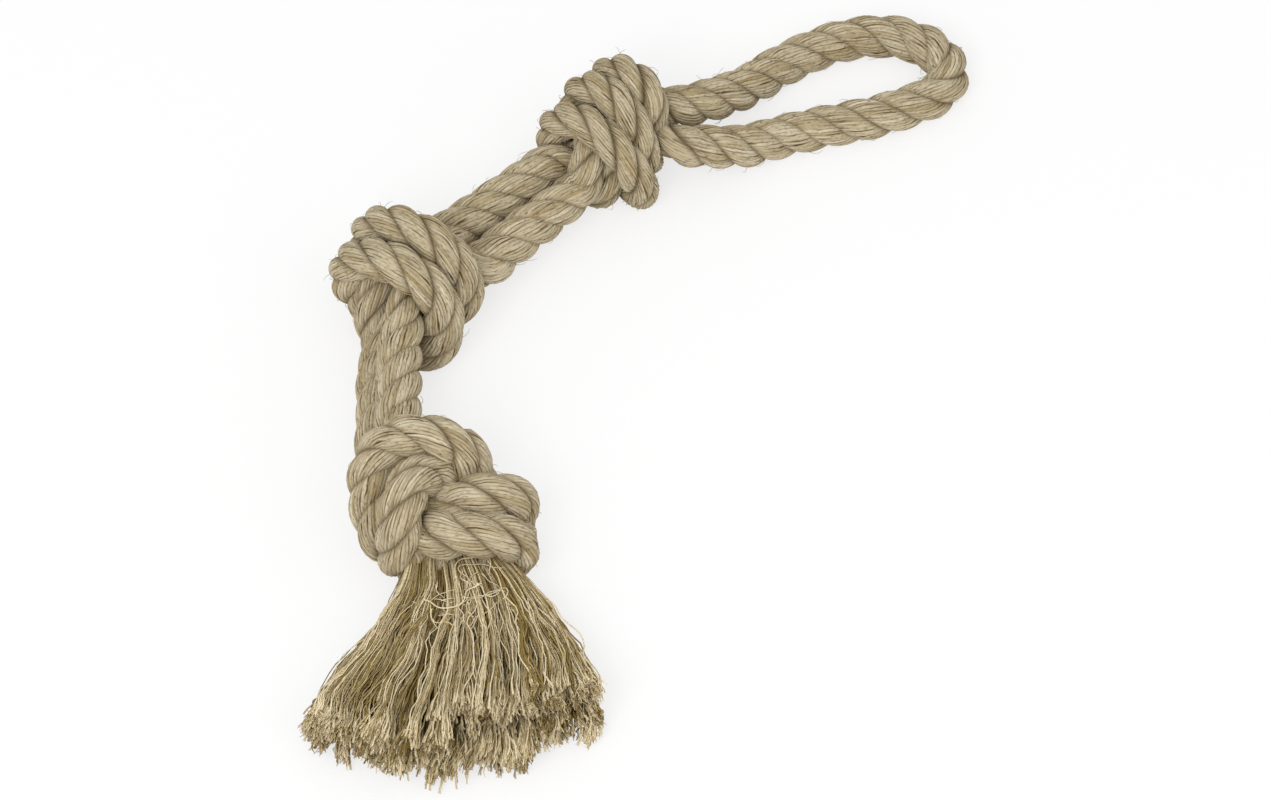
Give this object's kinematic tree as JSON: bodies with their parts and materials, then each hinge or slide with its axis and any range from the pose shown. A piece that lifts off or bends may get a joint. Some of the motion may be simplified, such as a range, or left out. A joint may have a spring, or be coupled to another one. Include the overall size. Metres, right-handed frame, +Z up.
{
  "type": "rope dog toy",
  "caption": "Knotted rope tug toy for a dog: a doubled rope with a loop handle, overhand knots along its length and a frayed tassel end.",
  "frame": {"origin": "on the floor under the middle of the toy's box as it lies", "axes": "+Z up from the floor, +X toward the handle loop, -Y toward the tassel"},
  "size_m": [0.3036, 0.4348, 0.0609],
  "materials": {
    "rope": "matte right-hand laid natural-fibre rope of three strands, undyed beige",
    "tassel_yarn": "matte loose crimped yarn, undyed, a little yellower than the rope"
  },
  "bodies": {
    "middle_knot": {"middle_knot_rope_a": "rope", "middle_knot_rope_b": "rope"},
    "upper_pair": {"upper_rope_a": "rope", "upper_rope_b": "rope"},
    "handle_knot": {"handle_knot_rope_a": "rope", "handle_knot_rope_b": "rope"},
    "handle_legs": {"handle_leg_a": "rope", "handle_leg_b": "rope"},
    "handle_end": {"handle_bight": "rope"},
    "lower_pair": {"lower_rope_a": "rope", "lower_rope_b": "rope"},
    "end_knot": {"end_knot_rope_a": "rope", "end_knot_rope_b": "rope"},
    "tassel": {"tassel_end_a": "rope", "tassel_end_b": "rope", "tassel_lock_middle_lower": "tassel_yarn", "tassel_lock_middle_upper": "tassel_yarn"},
    "tassel_left": {"tassel_lock_left_lower": "tassel_yarn", "tassel_lock_left_upper": "tassel_yarn"},
    "tassel_right": {"tassel_lock_right_lower": "tassel_yarn", "tassel_lock_right_upper": "tassel_yarn"}
  },
  "joints": [
    {"name": "upper_flex", "type": "hinge", "parent": "middle_knot", "child": "upper_pair", "pos_m": [-0.06705, 0.08264, 0.021], "axis": [0.6899, -0.7239, 0], "range_deg": [-30, 30]},
    {"name": "upper_sway", "type": "hinge", "parent": "upper_pair", "child": "handle_knot", "pos_m": [-0.05822, 0.09105, 0.021], "axis": [0, 0, 1], "range_deg": [-25, 25]},
    {"name": "handle_lift", "type": "hinge", "parent": "handle_knot", "child": "handle_legs", "pos_m": [0.0355, 0.14802, 0.0175], "axis": [0, -1, 0], "range_deg": [-20, 55]},
    {"name": "handle_curl", "type": "hinge", "parent": "handle_legs", "child": "handle_end", "pos_m": [0.0735, 0.17002, 0.008], "axis": [0, -1, 0], "range_deg": [-35, 50]},
    {"name": "lower_swing", "type": "hinge", "parent": "middle_knot", "child": "lower_pair", "pos_m": [-0.114, -0.00598, 0.021], "axis": [0.4512, 0, 0.8924], "range_deg": [-30, 30]},
    {"name": "lower_bend", "type": "hinge", "parent": "lower_pair", "child": "end_knot", "pos_m": [-0.114, -0.01698, 0.021], "axis": [-0.8924, 0, 0.4512], "range_deg": [-30, 30]},
    {"name": "tassel_lift", "type": "hinge", "parent": "end_knot", "child": "tassel", "pos_m": [-0.0815, -0.12698, 0.013], "axis": [-1, 0, 0], "range_deg": [-20, 30]},
    {"name": "tassel_fan_left", "type": "hinge", "parent": "tassel", "child": "tassel_left", "pos_m": [-0.10367, -0.14576, 0.013], "axis": [0, 0, -1], "range_deg": [0, 18]},
    {"name": "tassel_fan_right", "type": "hinge", "parent": "tassel", "child": "tassel_right", "pos_m": [-0.05233, -0.14576, 0.013], "axis": [0, 0, 1], "range_deg": [0, 18]}
  ]
}
